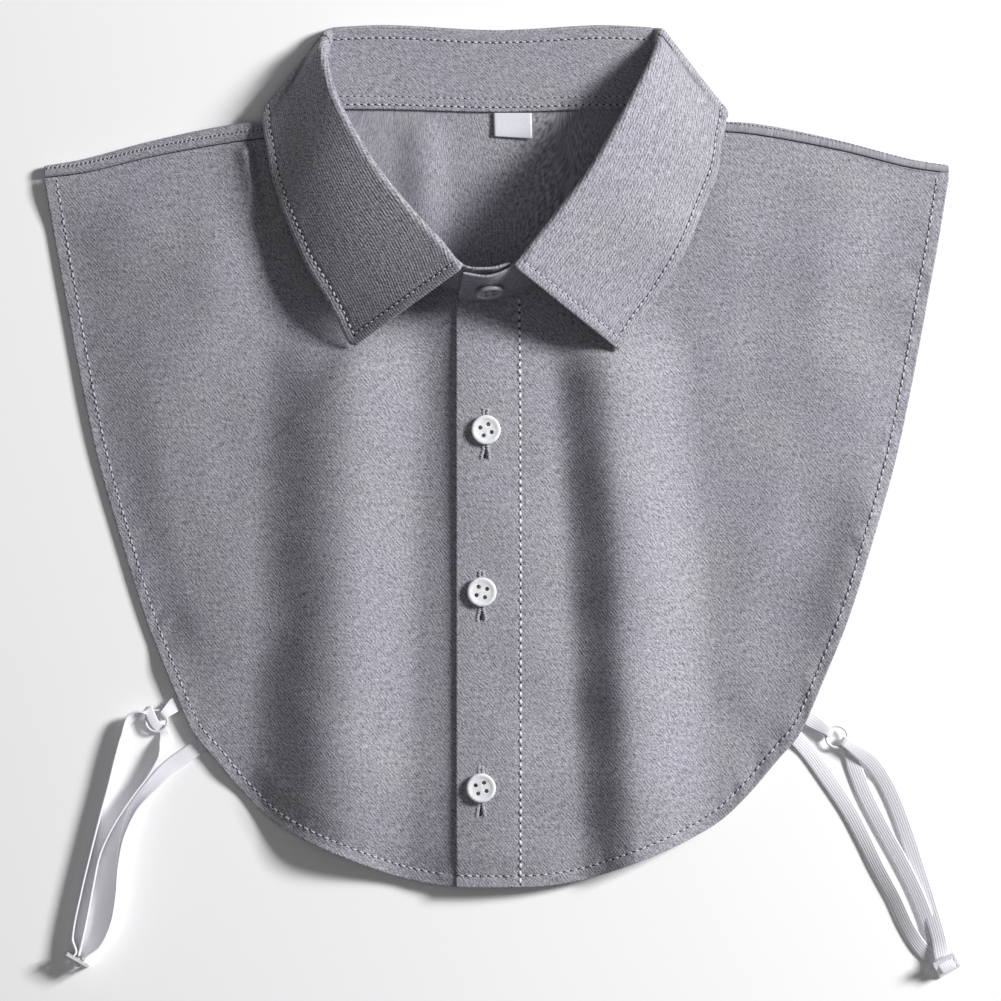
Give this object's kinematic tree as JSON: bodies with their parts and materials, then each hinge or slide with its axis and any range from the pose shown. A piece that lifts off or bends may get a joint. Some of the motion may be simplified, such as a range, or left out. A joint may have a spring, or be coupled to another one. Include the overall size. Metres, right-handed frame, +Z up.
{
  "type": "bib collar",
  "caption": "Detachable half-shirt collar with turned-down points, buttoned placket front, plain back and adjustable elastic side straps, lying flat on its back",
  "frame": {"origin": "centre of the bounding box, on the surface that the piece lies on", "axes": "+Z up from the surface, +Y from the hem towards the collar, +X towards the wearer's left side"},
  "size_m": [0.372, 0.3882, 0.0458],
  "materials": {
    "cloth": "fine grey twill shirt cotton with a faint lilac cast",
    "button": "white four-hole shirt button",
    "label": "white woven satin",
    "elastic": "white woven elastic with a faint lilac cast",
    "ring": "white moulded plastic"
  },
  "bodies": {
    "root": {"back_panel": "cloth", "front_panel_right": "cloth", "front_panel_left": "cloth", "collar_stand": "cloth", "collar_leaf": "cloth", "button_1": "button", "button_2": "button", "button_3": "button", "collar_button": "button", "size_label": "label", "strap_left": "elastic", "strap_right": "elastic", "strap_tab_left": "elastic", "strap_tab_right": "elastic", "strap_ring_left": "ring", "strap_ring_right": "ring", "strap_slider_left": "ring", "strap_slider_right": "ring"}
  },
  "joints": []
}
